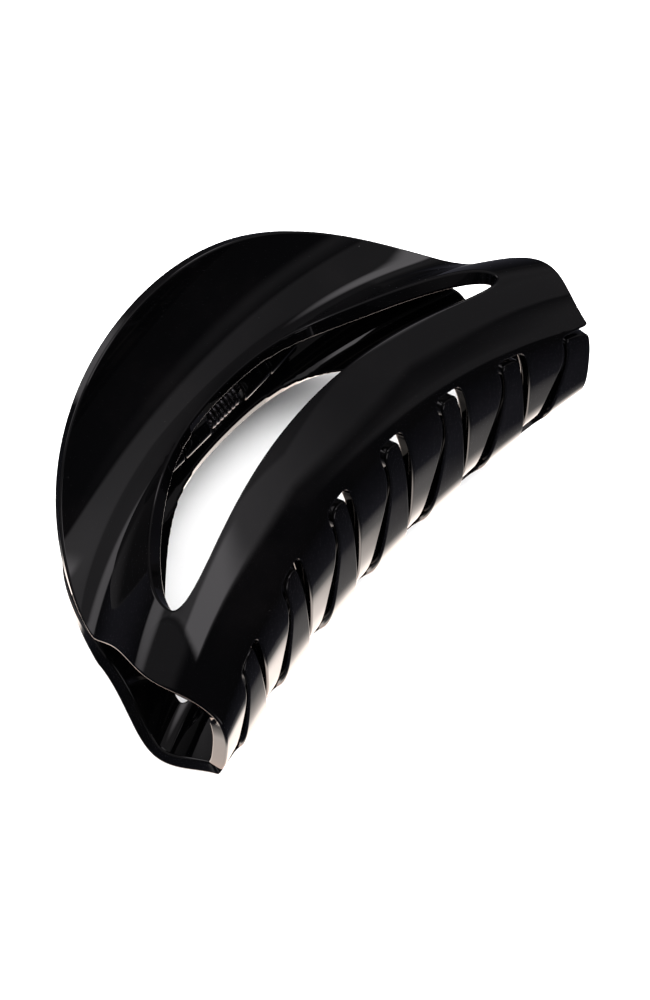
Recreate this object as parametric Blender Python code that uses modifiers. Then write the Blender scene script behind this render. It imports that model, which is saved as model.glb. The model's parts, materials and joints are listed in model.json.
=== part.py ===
"""Sectioning clip: two interlocking moulded jaws on one steel hinge pin, with a torsion spring.

Each jaw is the same moulding, and the lower one is the upper one turned half a turn. A jaw is a curved
sheet given one wall thickness. Its section, from the finger wing down to the teeth, changes along the
clip, so the sheet is a loft between unlike sections. All lengths below are in millimetres. The clip lies
on its side: X runs along it, Y from the teeth to the wings, Z up.
"""

import math

import bmesh
import bpy
import numpy as np
from mathutils import Matrix, Vector
from mathutils.geometry import delaunay_2d_cdt

MM = 0.001

# Overall form of a jaw. "End" is at the ends of the clip and "mid" halfway along it.
NOMINAL_HALF_LENGTH = 55.0
WAIST_HALF_LENGTH = 53.5
BAND_HALF_LENGTH = 57.2
TEETH_HALF_LENGTH = 53.8
WALL = 3.0
RIM_WALL = 2.2
EDGE_RADIUS = 0.5

# Section points, as (distance out from the clip's middle plane, height above the tooth line).
WAIST_END = (4.3, 30.2)
WAIST_MID = (8.7, 44.3)
ROOT_END = (11.1, 0.0)
ROOT_MID = (23.2, 10.6)
TOOTH_LINE_END = -1.4
TOOTH_LINE_MID = 6.3
TOOTH_BELLY = 4.0
TOOTH_CURL = 1.5

# The band between waist and tooth roots is a cubic arc: handle lengths and angles at its two ends.
BAND_TOP_HANDLE = (20.0, 25.0)
BAND_TOP_ANGLE = (40.0, 44.0)
BAND_FOOT_HANDLE = (13.0, 24.0)
BAND_FOOT_ANGLE = (52.0, 68.0)
BAND_SPAN = 42.0
TOOTH_SPAN = 44.0

# How far to either side the crease at the waist, and the one at the tooth roots, is rounded over.
WAIST_BLEND = 6.0
ROOT_BLEND = 3.0
BLEND_CHANGES_AT = -30.0
BLEND_CHANGES_OVER = 20.0
CREASE_TAPS = 25

# The wing leans out as it rises.
WING_HEIGHT = 24.9
WING_TAPER = 0.7
WING_LEAN_END = -14.0
WING_LEAN_GAIN = 24.0
WING_LEAN_PER_MM = 2.4
RIM_THINS_OVER = 20.0
RIM_RUN = 150.0

# Window through the band, as fractions of the band from waist to tooth roots. A shape is a
# superellipse's two powers.
WINDOW_HALF_LENGTH = 44.4
WINDOW_TIP = 0.56
WINDOW_TOP = -0.03
WINDOW_FOOT = 0.70
WINDOW_ENDS = 0.8
WINDOW_RUN = 220.0
WINDOW_TOP_SHAPE = (2.6, 0.47)
WINDOW_FOOT_SHAPE = (7.0, 0.5)

# Teeth. A flank's two numbers are its distances from the tooth's middle at root and tip, then its ease.
TEETH = 7
PITCH = 2 * NOMINAL_HALF_LENGTH / TEETH
TOOTH_RIGHT = (4.75, 1.6, 0.7)
TOOTH_LEFT = (4.3, 2.65, 1.0)
TOOTH_STRAIGHT = 0.12
TIP_STRAIGHT = 0.18
TOOTH_END_GAP = 3.4
FOOT_RADIUS_RIGHT = 1.9
FOOT_RADIUS_LEFT = 1.5
TIP_RADIUS_RIGHT = 3.0
TIP_RADIUS_LEFT = 1.4
CLIP_END_FOOT = 1.0
TOOTH_FOOT = 1.0
CLIP_END_RADIUS = 1.2

# Hinge.
HINGE_HEIGHT = 47.6
KNUCKLE_RADIUS = 3.2
KNUCKLE_SPANS = ((5.0, 12.2), (-20.2, -12.6))
KNUCKLE_WEB = (45.8, 50.4)
KNUCKLE_WEB_REACH = 7.4
PIN_RADIUS = 1.1
PIN_CLEARANCE = 0.05
PIN_HALF_LENGTH = 21.0
PIN_END_CHAMFER = 0.3
COIL_RADIUS = 2.3
WIRE_RADIUS = 0.45
COIL_TURNS = 6.5
COIL_HALF_WIDTH = 3.6
STEPS_A_TURN = 18
LEG_LENGTH = 10.3
LEG_LEAN = 24.6

# The clip rests on the band and the wing rim of its lower jaw.
REST_TILT = -5.8

# Spacing of mesh points: along the edges, over the faces, and how much closer they get where an edge turns.
EDGE_STEP = 2.6
GRID_STEP = 3.6
FINE_STEP = 0.25
CLOSER_ON_TURNS = 0.35
CLOSEST = 0.28


def mix(end, mid, q):
    return end + (mid - end) * q


def smooth_step(t):
    t = np.clip(t, 0, 1)
    return t * t * (3 - 2 * t)


def raw_section(q, v):
    """(out, height) of the jaw's outer face. v is 0 at the waist, positive up the wing."""
    rise = q + 0.25 * q * (1 - q)
    waist_out = mix(WAIST_END[0], WAIST_MID[0], q)
    waist_up = mix(WAIST_END[1], WAIST_MID[1], rise)
    root_out = mix(ROOT_END[0], ROOT_MID[0], q)
    root_up = mix(ROOT_END[1], ROOT_MID[1], q)

    lean = np.radians(WING_LEAN_END + WING_LEAN_GAIN * np.sqrt(np.maximum(q, 0)))
    bend = math.radians(WING_LEAN_PER_MM)
    along = np.maximum(v, 0)
    wing_out = waist_out + (np.cos(lean) - np.cos(lean + bend * along)) / bend
    wing_up = waist_up + (np.sin(lean + bend * along) - np.sin(lean)) / bend

    t = np.clip(-v / BAND_SPAN, 0, 1)
    top = np.radians(mix(*BAND_TOP_ANGLE, q))
    foot = np.radians(mix(*BAND_FOOT_ANGLE, q))
    top_handle = mix(*BAND_TOP_HANDLE, q)
    foot_handle = mix(*BAND_FOOT_HANDLE, q)
    b0, b1, b2, b3 = (1 - t) ** 3, 3 * t * (1 - t) ** 2, 3 * t * t * (1 - t), t**3
    band_out = (
        b0 * waist_out
        + b1 * (waist_out + top_handle * np.cos(top))
        + b2 * (root_out + foot_handle * np.cos(foot))
        + b3 * root_out
    )
    band_up = (
        b0 * waist_up
        + b1 * (waist_up - top_handle * np.sin(top))
        + b2 * (root_up + foot_handle * np.sin(foot))
        + b3 * root_up
    )

    across = 1 - 2 * (-v - BAND_SPAN) / TOOTH_SPAN
    tooth_line = mix(TOOTH_LINE_END, TOOTH_LINE_MID, q)
    tooth_out = root_out * across
    curl = TOOTH_CURL * np.maximum((1 - across) / 2, 0) ** 2
    tooth_up = tooth_line + (root_up - tooth_line) * np.abs(across) ** TOOTH_BELLY + curl

    out = np.where(v > 0, wing_out, np.where(v > -BAND_SPAN, band_out, tooth_out))
    up = np.where(v > 0, wing_up, np.where(v > -BAND_SPAN, band_up, tooth_up))
    return out, up


def half_length(v):
    t = np.clip(-v / BAND_SPAN, 0, 1)
    base = mix(WAIST_HALF_LENGTH, TEETH_HALF_LENGTH, t)
    return base + (BAND_HALF_LENGTH - base) * np.sin(math.pi * t) ** 2 * (t > 0) * (t < 1)


def surface(u, v):
    """Points on the outer face, for u along the clip and v round the section."""
    u, v = np.asarray(u, float), np.asarray(v, float)
    q = 1 - (u / NOMINAL_HALF_LENGTH) ** 2
    total = np.zeros((*u.shape, 3))
    blend = mix(ROOT_BLEND, WAIST_BLEND, smooth_step((v - BLEND_CHANGES_AT) / BLEND_CHANGES_OVER))
    shifts = np.linspace(-1, 1, CREASE_TAPS + 2)[1:-1]
    weights = (1 - shifts**2) ** 2
    for shift, weight in zip(shifts, weights):
        near = v + blend * shift
        out, up = raw_section(q, near)
        length = u * half_length(near) / NOMINAL_HALF_LENGTH
        total += weight * np.stack([length, up, out], -1)
    return total / weights.sum()


def frame(u, v):
    """Points, outward normals and the two tangents of the outer face."""
    step = 0.02
    along = (surface(u + step, v) - surface(u - step, v)) / (2 * step)
    up = (surface(u, v + step) - surface(u, v - step)) / (2 * step)
    normal = np.cross(along, up)
    normal /= np.linalg.norm(normal, axis=-1, keepdims=True)
    return surface(u, v), normal, along, up


def resample(points, step):
    """The closed loop at even steps."""
    points = np.array(points, float)
    points = np.vstack([points, points[:1]])
    run = np.r_[0, np.cumsum(np.linalg.norm(np.diff(points, axis=0), axis=1))]
    count = max(3, round(run[-1] / step))
    at = np.linspace(0, run[-1], count + 1)[:-1]
    return np.stack([np.interp(at, run, points[:, i]) for i in (0, 1)], 1)


def rounded(corners, radii, step):
    """A polyline with each inner corner replaced by an arc of the given radius."""
    corners = [np.array(c, float) for c in corners]
    line = [corners[0]]
    for i in range(1, len(corners) - 1):
        back, ahead = corners[i - 1] - corners[i], corners[i + 1] - corners[i]
        room = min(np.linalg.norm(back), np.linalg.norm(ahead)) * 0.48
        back /= np.linalg.norm(back)
        ahead /= np.linalg.norm(ahead)
        half = math.acos(np.clip(back @ ahead, -1, 1)) / 2
        if radii[i] <= 0 or half > math.radians(86):
            line.append(corners[i])
            continue
        cut = min(radii[i] / math.tan(half), room)
        start, end = corners[i] + back * cut, corners[i] + ahead * cut
        pieces = max(2, round((math.pi - 2 * half) * radii[i] / step))
        for k in range(pieces + 1):
            s = k / pieces
            line.append((1 - s) ** 2 * start + 2 * s * (1 - s) * corners[i] + s * s * end)
    line.append(corners[-1])
    return line


def tooth_side(centre, side):
    """One flank of a tooth, (u, v) points from root corner to tip corner. side is +1 or -1."""
    root, tip, ease = TOOTH_RIGHT if side > 0 else TOOTH_LEFT
    flank = [(centre + side * root, -BAND_SPAN - TOOTH_FOOT)]
    for s in np.linspace(TOOTH_STRAIGHT, 1 - TIP_STRAIGHT, 12):
        bend = smooth_step((s - TOOTH_STRAIGHT) / (1 - 2 * TOOTH_STRAIGHT)) ** ease
        flank.append((centre + side * mix(root, tip, bend), -BAND_SPAN - TOOTH_SPAN * s))
    flank.append((flank[-1][0], -BAND_SPAN - TOOTH_SPAN + TOOTH_END_GAP))
    return flank


def jaw_outline(step):
    """The jaw's outer edge in (u, v), going round from the wing rim to the teeth and back."""
    end = NOMINAL_HALF_LENGTH
    turns = np.linspace(-math.pi / 2, math.pi / 2, max(24, round(RIM_RUN / step)))
    rim_u = end * np.sin(turns)
    rim_v = WING_HEIGHT * (np.cos(turns) ** (2 * WING_TAPER))
    rim = list(zip(rim_u, rim_v))[1:-1]
    tip = -BAND_SPAN - TOOTH_SPAN + TOOTH_END_GAP
    corners = [(end, 0.0), (end, CLIP_END_FOOT - BAND_SPAN)]
    radii = [0, CLIP_END_RADIUS]
    for i in range(TEETH):
        centre = end + PITCH / 4 - PITCH * (i + 1)
        flank = tooth_side(centre, +1)
        corners += flank
        radii += [FOOT_RADIUS_RIGHT] + [0] * (len(flank) - 2) + [TIP_RADIUS_RIGHT]
        if i == TEETH - 1:
            break
        flank = tooth_side(centre, -1)[::-1]
        corners += flank
        radii += [TIP_RADIUS_LEFT] + [0] * (len(flank) - 2) + [FOOT_RADIUS_LEFT]
    corners += [(-end, tip), (-end, 0.0)]
    radii += [TIP_RADIUS_RIGHT, 0]
    return rim + [tuple(p) for p in rounded(corners, radii, min(step, 0.9))]


def window_outline(step):
    half, tip = WINDOW_HALF_LENGTH, WINDOW_TIP
    line = []
    for a in np.linspace(0, 2 * math.pi, max(40, round(WINDOW_RUN / step)), endpoint=False):
        c, s = math.cos(a), math.sin(a)
        u = half * math.copysign(abs(c) ** WINDOW_ENDS, c)
        power, root = WINDOW_TOP_SHAPE if s >= 0 else WINDOW_FOOT_SHAPE
        side = WINDOW_TOP if s >= 0 else WINDOW_FOOT
        t = tip + (side - tip) * (1 - min(abs(u) / half, 1.0) ** power) ** root
        line.append((u, -BAND_SPAN * t))
    return line


def evened(loop, step):
    """The loop resampled so that curved stretches keep more points than straight ones."""
    fine = resample(loop, FINE_STEP)
    ahead, back = np.roll(fine, -3, 0) - fine, fine - np.roll(fine, 3, 0)
    cross = ahead[:, 0] * back[:, 1] - ahead[:, 1] * back[:, 0]
    turn = np.abs(np.arctan2(cross, (ahead * back).sum(1)))
    for _ in range(6):
        turn = (np.roll(turn, 1) + turn + np.roll(turn, -1)) / 3
    size = np.linalg.norm(np.roll(fine, -1, 0) - fine, axis=1)
    spacing = np.clip(CLOSER_ON_TURNS / np.maximum(turn, 1e-6), CLOSEST, 1.0) * step
    run = np.r_[0, np.cumsum(size / spacing)]
    at = np.linspace(0, run[-1], round(run[-1]), endpoint=False)
    closed = np.vstack([fine, fine[:1]])
    return np.stack([np.interp(at, run, closed[:, i]) for i in (0, 1)], 1)


def inside(points, loop):
    """Which of the points lie inside the loop."""
    x, y = points[:, 0][:, None], points[:, 1][:, None]
    x0, y0 = loop[:, 0], loop[:, 1]
    x1, y1 = np.roll(x0, -1), np.roll(y0, -1)
    crosses = (y0 > y) != (y1 > y)
    at = x0 + (y - y0) * (x1 - x0) / np.where(y1 == y0, 1e-12, y1 - y0)
    return (crosses & (x < at)).sum(1) % 2 == 1


def signed_area(loop):
    x, y = loop[:, 0], loop[:, 1]
    return 0.5 * (x * np.roll(y, -1) - np.roll(x, -1) * y).sum()


def edge_frame(loop):
    """For a loop with material on its left: outer points, normals and outward directions in 3D."""
    tangent = np.roll(loop, -1, 0) - np.roll(loop, 1, 0)
    points, normal, along, up = frame(loop[:, 0], loop[:, 1])
    t3 = tangent[:, :1] * along + tangent[:, 1:] * up
    t3 /= np.linalg.norm(t3, axis=1, keepdims=True)
    out = np.cross(t3, normal)
    gram = np.stack([(along * along).sum(1), (along * up).sum(1), (up * up).sum(1)], 1)
    det = gram[:, 0] * gram[:, 2] - gram[:, 1] ** 2
    a, b = (out * along).sum(1), (out * up).sum(1)
    uv = np.stack([gram[:, 2] * a - gram[:, 1] * b, gram[:, 0] * b - gram[:, 1] * a], 1)
    return points, normal, out, uv / det[:, None]


def wall_at(v):
    return mix(WALL, RIM_WALL, smooth_step(np.asarray(v) / RIM_THINS_OVER))


def jaw_sheet():
    """(points, faces) of the upper jaw without its knuckles, as one closed surface."""
    outer = evened(jaw_outline(EDGE_STEP), EDGE_STEP)
    window = evened(window_outline(EDGE_STEP), EDGE_STEP)
    if signed_area(outer) < 0:
        outer = outer[::-1]
    if signed_area(window) > 0:
        window = window[::-1]
    loops = []
    for loop in (outer, window):
        _, _, out, uv = edge_frame(loop)
        loops.append(loop - EDGE_RADIUS * uv)
    grid = []
    row = GRID_STEP * 0.87
    for j, v in enumerate(np.arange(-BAND_SPAN - TOOTH_SPAN, WING_HEIGHT, row)):
        for u in np.arange(-NOMINAL_HALF_LENGTH, NOMINAL_HALF_LENGTH, GRID_STEP):
            grid.append((u + (j % 2) * GRID_STEP / 2, v))
    grid = np.array(grid)
    keep = inside(grid, loops[0]) & ~inside(grid, loops[1])
    grid = grid[keep]
    for loop in loops:
        near = np.sqrt(((grid[:, None] - loop[None]) ** 2).sum(2)).min(1)
        grid = grid[near > 0.55 * GRID_STEP]
    sizes = [len(loops[0]), len(loops[1])]
    flat = [Vector(p) for p in np.vstack([*loops, grid])]
    edges = [(i, (i + 1) % sizes[0]) for i in range(sizes[0])]
    edges += [(sizes[0] + i, sizes[0] + (i + 1) % sizes[1]) for i in range(sizes[1])]
    verts, _, faces, sources, _, _ = delaunay_2d_cdt(flat, edges, [], 1, 1e-7)
    uv = np.array([tuple(p) for p in verts])
    tri = np.array([tuple(f) for f in faces])
    middle = uv[tri].mean(1)
    tri = tri[inside(middle, loops[0]) & ~inside(middle, loops[1])]
    at = {source: i for i, found in enumerate(sources) for source in found}

    points, normal, _, _ = frame(uv[:, 0], uv[:, 1])
    wall = wall_at(uv[:, 1])[:, None]
    shell = [points, points - wall * normal]
    count = len(uv)
    area = np.cross(points[tri[:, 1]] - points[tri[:, 0]], points[tri[:, 2]] - points[tri[:, 0]])
    if (area * normal[tri[:, 0]]).sum() < 0:
        tri = tri[:, ::-1]
    faces = [tuple(f) for f in tri] + [tuple(f + count) for f in tri[:, ::-1]]
    start = 2 * count
    first = 0
    for loop, size in zip(loops, sizes):
        base, n, out, _ = edge_frame(loop)
        t = wall_at(loop[:, 1])[:, None]
        top = base + EDGE_RADIUS * (out - n)
        foot = base - t * n + EDGE_RADIUS * (out + n)
        shell += [top, foot]
        ids = [at[first + i] for i in range(size)]
        rows = [ids, list(range(start, start + size)), list(range(start + size, start + 2 * size))]
        rows.append([i + count for i in ids])
        for a, b in zip(rows[:-1], rows[1:]):
            for i in range(size):
                j = (i + 1) % size
                faces.append((a[j], a[i], b[i], b[j]))
        start += 2 * size
        first += size
    return np.vstack(shell), faces


def cylinder(radius, half_length, sides=32):
    """A closed cylinder along X about the hinge axis, in millimetres."""
    bm = bmesh.new()
    bmesh.ops.create_cone(
        bm, cap_ends=True, segments=sides, radius1=radius, radius2=radius, depth=2 * half_length
    )
    bmesh.ops.rotate(bm, verts=bm.verts, matrix=Matrix.Rotation(math.pi / 2, 3, "Y"))
    return bm


def box(low, high):
    bm = bmesh.new()
    bmesh.ops.create_cube(bm, size=1)
    size, middle = np.subtract(high, low), np.add(high, low) / 2
    bmesh.ops.scale(bm, verts=bm.verts, vec=Vector(size))
    bmesh.ops.translate(bm, verts=bm.verts, vec=Vector(middle))
    return bm


def place_matrix(turned, shift):
    """From the clip's own frame to the world: half a turn for the lower jaw, the resting tilt, metres."""
    tilt = Matrix.Rotation(math.radians(REST_TILT), 4, "X")
    half_turn = Matrix.Rotation(math.pi, 4, "Y") if turned else Matrix.Identity(4)
    return Matrix.Scale(MM, 4) @ Matrix.Translation(shift) @ tilt @ half_turn


def add_mesh(name, bm, matrix, collection, material=None):
    """A new object whose origin lies on the hinge axis."""
    mesh = bpy.data.meshes.new(name)
    bm.to_mesh(mesh)
    bm.free()
    obj = bpy.data.objects.new(name, mesh)
    collection.objects.link(obj)
    origin = matrix @ Vector((0, HINGE_HEIGHT, 0))
    mesh.transform(Matrix.Translation(-origin) @ matrix)
    obj.location = origin
    if material:
        mesh.materials.append(material)
    return obj


def boolean(obj, other, operation):
    modifier = obj.modifiers.new(other.name, "BOOLEAN")
    modifier.operation = operation
    modifier.object = other
    modifier.solver = "EXACT"


def material(name, colour, roughness, metallic):
    made = bpy.data.materials.new(name)
    made.use_nodes = True
    shader = made.node_tree.nodes["Principled BSDF"]
    shader.inputs["Base Color"].default_value = (*colour, 1)
    shader.inputs["Roughness"].default_value = roughness
    shader.inputs["Metallic"].default_value = metallic
    return made


def jaw_body():
    points, faces = jaw_sheet()
    bm = bmesh.new()
    verts = [bm.verts.new((x, y, z)) for x, y, z in points]
    for face in faces:
        bm.faces.new([verts[i] for i in face])
    bmesh.ops.remove_doubles(bm, verts=bm.verts, dist=1e-4)
    return bm


def resting_shift():
    """What centres the placed clip over the world origin, on the floor."""
    points, _ = jaw_sheet()
    both = [Vector(p) for p in points] + [Vector((-p[0], p[1], -p[2])) for p in points]
    tilt = Matrix.Rotation(math.radians(REST_TILT), 4, "X")
    placed = np.array([tuple(tilt @ p) for p in both])
    low, high = placed.min(0), placed.max(0)
    return Vector((-(low[0] + high[0]) / 2, -(low[1] + high[1]) / 2, -low[2]))


def add_jaw(name, turned, shift, parts, cutters, finish):
    matrix = place_matrix(turned, shift)
    jaw = add_mesh(name, jaw_body(), matrix, parts, finish)
    for i, (low, high) in enumerate(KNUCKLE_SPANS):
        knuckle = cylinder(KNUCKLE_RADIUS, (high - low) / 2)
        bmesh.ops.translate(knuckle, verts=knuckle.verts, vec=((low + high) / 2, HINGE_HEIGHT, 0))
        web = box((low, KNUCKLE_WEB[0], 0), (high, KNUCKLE_WEB[1], KNUCKLE_WEB_REACH))
        boolean(jaw, add_mesh(f"{name}_knuckle_{i}", knuckle, matrix, cutters), "UNION")
        boolean(jaw, add_mesh(f"{name}_web_{i}", web, matrix, cutters), "UNION")
    bore = cylinder(PIN_RADIUS + PIN_CLEARANCE, PIN_HALF_LENGTH + 3)
    bmesh.ops.translate(bore, verts=bore.verts, vec=(0, HINGE_HEIGHT, 0))
    boolean(jaw, add_mesh(f"{name}_bore", bore, matrix, cutters), "DIFFERENCE")
    return jaw


def add_pin(shift, parts, finish):
    bm = cylinder(PIN_RADIUS, PIN_HALF_LENGTH)
    bmesh.ops.translate(bm, verts=bm.verts, vec=(0, HINGE_HEIGHT, 0))
    pin = add_mesh("hinge_pin", bm, place_matrix(False, shift), parts, finish)
    ends = pin.modifiers.new("rounded_ends", "BEVEL")
    ends.width = PIN_END_CHAMFER * MM
    ends.segments = 2
    ends.limit_method = "ANGLE"
    return pin


def spring_path():
    """The wire's centre line, from the tip of the upper leg round the coil to the tip of the lower one."""
    lean = math.radians(LEG_LEAN)
    reach, rise = LEG_LENGTH * math.sin(lean), LEG_LENGTH * math.cos(lean)
    leg = (0.25, 0.5, 0.75, 1)
    path = [(COIL_HALF_WIDTH, HINGE_HEIGHT + rise * s, COIL_RADIUS + reach * s) for s in leg[::-1]]
    steps = round(COIL_TURNS * STEPS_A_TURN)
    for i in range(steps + 1):
        angle = -2 * math.pi * COIL_TURNS * i / steps
        x = COIL_HALF_WIDTH * (1 - 2 * i / steps)
        path.append((x, HINGE_HEIGHT + COIL_RADIUS * math.sin(angle), COIL_RADIUS * math.cos(angle)))
    for s in leg:
        path.append((-COIL_HALF_WIDTH, HINGE_HEIGHT + rise * s, -COIL_RADIUS - reach * s))
    return path


def add_spring(shift, parts, finish):
    curve = bpy.data.curves.new("torsion_spring", "CURVE")
    curve.dimensions = "3D"
    curve.bevel_depth = WIRE_RADIUS * MM
    curve.bevel_resolution = 2
    curve.use_fill_caps = True
    matrix = place_matrix(False, shift)
    origin = matrix @ Vector((0, HINGE_HEIGHT, 0))
    path = spring_path()
    spline = curve.splines.new("POLY")
    spline.points.add(len(path) - 1)
    for point, where in zip(spline.points, path):
        point.co = (*(matrix @ Vector(where) - origin), 1)
    curve.materials.append(finish)
    spring = bpy.data.objects.new("torsion_spring", curve)
    spring.location = origin
    parts.objects.link(spring)
    return spring


def main():
    for obj in list(bpy.data.objects):
        bpy.data.objects.remove(obj)
    scene = bpy.context.scene
    scene.unit_settings.system = "METRIC"
    parts = bpy.data.collections.new("sectioning_clip")
    cutters = bpy.data.collections.new("cutters")
    scene.collection.children.link(parts)
    scene.collection.children.link(cutters)

    plastic = material("gloss_black_plastic", (0.012, 0.012, 0.013), 0.12, 0)
    steel = material("blackened_steel", (0.10, 0.10, 0.11), 0.32, 1)
    wire = material("spring_wire", (0.14, 0.14, 0.15), 0.28, 1)

    shift = resting_shift()
    lower = add_jaw("lower_jaw", True, shift, parts, cutters, plastic)
    upper = add_jaw("upper_jaw", False, shift, parts, cutters, plastic)
    pin = add_pin(shift, parts, steel)
    spring = add_spring(shift, parts, wire)
    for child in (upper, pin, spring):
        bpy.context.view_layer.update()
        child.parent = lower
        child.matrix_parent_inverse = lower.matrix_world.inverted()
    for helper in cutters.objects:
        helper.hide_render = True
        helper.display_type = "WIRE"
    cutters.hide_render = True


main()
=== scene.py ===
"""Looks for the sectioning clip: fine gloss jaws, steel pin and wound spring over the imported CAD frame.

Lengths are millimetres in the clip's own frame (X along the clip, Y from the teeth to the wings, Z out of
the upper jaw), as in the CAD source, and place_matrix() brings them to the row frame in metres.
"""

import json
import math

import bmesh
import bpy
import numpy as np
from mathutils import Matrix, Vector
from mathutils.geometry import delaunay_2d_cdt


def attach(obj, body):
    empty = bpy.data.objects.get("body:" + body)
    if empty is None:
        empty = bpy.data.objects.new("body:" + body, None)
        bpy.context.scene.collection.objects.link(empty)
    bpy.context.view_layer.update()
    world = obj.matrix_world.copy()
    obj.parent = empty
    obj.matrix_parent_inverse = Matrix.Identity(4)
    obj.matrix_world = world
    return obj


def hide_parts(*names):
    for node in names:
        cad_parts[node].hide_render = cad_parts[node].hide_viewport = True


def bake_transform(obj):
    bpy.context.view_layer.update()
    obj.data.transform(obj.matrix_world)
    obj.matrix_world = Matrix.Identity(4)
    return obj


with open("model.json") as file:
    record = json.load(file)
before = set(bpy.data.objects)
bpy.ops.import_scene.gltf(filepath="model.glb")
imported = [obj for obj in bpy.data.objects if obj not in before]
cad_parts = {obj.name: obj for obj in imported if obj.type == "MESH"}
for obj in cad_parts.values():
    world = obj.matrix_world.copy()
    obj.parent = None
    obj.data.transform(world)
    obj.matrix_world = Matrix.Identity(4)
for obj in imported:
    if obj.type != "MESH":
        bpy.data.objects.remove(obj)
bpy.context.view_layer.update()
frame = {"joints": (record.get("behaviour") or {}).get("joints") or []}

MM = 0.001

# Overall form of a jaw. "End" is at the ends of the clip and "mid" halfway along it.
NOMINAL_HALF_LENGTH = 55.0
WAIST_HALF_LENGTH = 53.5
BAND_HALF_LENGTH = 57.2
TEETH_HALF_LENGTH = 53.8
WALL = 3.0
RIM_WALL = 2.2
EDGE_RADIUS = 0.5

# Section points, as (distance out from the clip's middle plane, height above the tooth line).
WAIST_END = (4.3, 30.2)
WAIST_MID = (8.7, 44.3)
WAIST_FULLNESS = 0.25
ROOT_END = (11.1, 0.0)
ROOT_MID = (23.2, 10.6)
TOOTH_LINE_END = -1.4
TOOTH_LINE_MID = 6.3
TOOTH_BELLY = 4.0
TOOTH_CURL = 1.5

# The band between waist and tooth roots is a cubic arc: handle lengths and angles at its two ends.
BAND_TOP_HANDLE = (20.0, 25.0)
BAND_TOP_ANGLE = (40.0, 44.0)
BAND_FOOT_HANDLE = (13.0, 24.0)
BAND_FOOT_ANGLE = (52.0, 68.0)
BAND_SPAN = 42.0
TOOTH_SPAN = 44.0

# How far to either side the crease at the waist, and the one at the tooth roots, is rounded over.
WAIST_BLEND = 6.0
ROOT_BLEND = 3.0
BLEND_CHANGES_AT = -30.0
BLEND_CHANGES_OVER = 20.0
CREASE_TAPS = 25

# The wing leans out as it rises.
WING_HEIGHT = 24.9
WING_TAPER = 0.7
WING_LEAN_END = -14.0
WING_LEAN_GAIN = 24.0
WING_LEAN_PER_MM = 2.4
RIM_THINS_OVER = 20.0

# Window through the band, as fractions of the band from waist to tooth roots. A shape is a
# superellipse's two powers.
WINDOW_HALF_LENGTH = 44.4
WINDOW_TIP = 0.56
WINDOW_TOP = -0.03
WINDOW_FOOT = 0.70
WINDOW_ENDS = 0.8
WINDOW_TOP_SHAPE = (2.6, 0.47)
WINDOW_FOOT_SHAPE = (7.0, 0.5)

# Teeth. A flank's two numbers are its distances from the tooth's middle at root and tip, then its ease.
TEETH = 7
PITCH = 2 * NOMINAL_HALF_LENGTH / TEETH
TOOTH_RIGHT = (4.75, 1.6, 0.7)
TOOTH_LEFT = (4.3, 2.65, 1.0)
TOOTH_STRAIGHT = 0.12
TIP_STRAIGHT = 0.18
TOOTH_END_GAP = 3.4
FOOT_RADIUS_RIGHT = 1.9
FOOT_RADIUS_LEFT = 1.5
TIP_RADIUS_RIGHT = 3.0
TIP_RADIUS_LEFT = 1.4
CLIP_END_FOOT = 1.0
TOOTH_FOOT = 1.0
CLIP_END_RADIUS = 1.2

# A corner's arc takes up at most this share of either side, and a corner this near to straight, in degrees
# of its half angle, is left as it is.
ARC_ROOM = 0.48
NEARLY_STRAIGHT = 86

# Hinge. A knuckle's foot leaves its barrel at an angle (in degrees), flares, and sinks into the jaw's wall.
HINGE_HEIGHT = 47.6
KNUCKLE_RADIUS = 3.2
KNUCKLE_SPANS = ((5.0, 12.2), (-20.2, -12.6))
KNUCKLE_EDGE = 0.4
KNUCKLE_FOOT = 4.6
KNUCKLE_FOOT_LOWEST = 46.2
KNUCKLE_LEAVES_AT = 38
KNUCKLE_FLARE = 0.9
KNUCKLE_SINK = (0.4, 0.6)
KNUCKLE_FACE = (-16, 12)
PIN_RADIUS = 1.1
PIN_CLEARANCE = 0.05
PIN_HALF_LENGTH = 21.0
PIN_END_CHAMFER = 0.3
COIL_RADIUS = 2.3
WIRE_RADIUS = 0.45
COIL_TURNS = 6.5
COIL_HALF_WIDTH = 3.6
LEG_LENGTH = 10.3
LEG_LEAN = 24.6
WIRE_END_LENGTH = 0.12
WIRE_END_SHRINK = 0.70

# The clip rests on the band and the wing rim of its lower jaw.
REST_TILT = -5.8

# The wing's normals are tipped by a few degrees, so that it shines as if it had a little more crown. Each is
# (everywhere, by distance along the clip, by height up the wing, then a last term as in crowned()).
WING_CROWN_ALONG = (-1.45, 0.6, 1.2, 1.2)
WING_CROWN_UP = (6.2, 2.05, 1.3, -3.1)
WING_CROWN_BEGINS_OVER = 0.35

# Spacing of mesh points: along the edges, over the faces, and how much closer they get where an edge turns.
EDGE_STEP = 0.8
GRID_STEP = 1.25
GRID_ROW = 0.87
GRID_CLEARANCE = 0.55
CORNER_STEP = 0.3
FINE_STEP = 0.12
TURN_REACH = 5
TURN_BLURS = 8
CLOSER_ON_TURNS = 0.35
CLOSEST = 0.35

# Counts of mesh points round or along a feature.
RIM_POINTS = 240
WINDOW_POINTS = 720
FLANK_POINTS = 28
EDGE_SEGMENTS = 4
KNUCKLE_EDGE_POINTS = 5
KNUCKLE_FACE_POINTS = 113
FLARE_POINTS = 9
BARREL_POINTS = 41
BORE_POINTS = 32
PIN_STEPS = 64
LEG_POINTS = 14
STEPS_A_TURN = 48
COIL_BLURS = 6
WIRE_SIDES = 16

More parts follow.
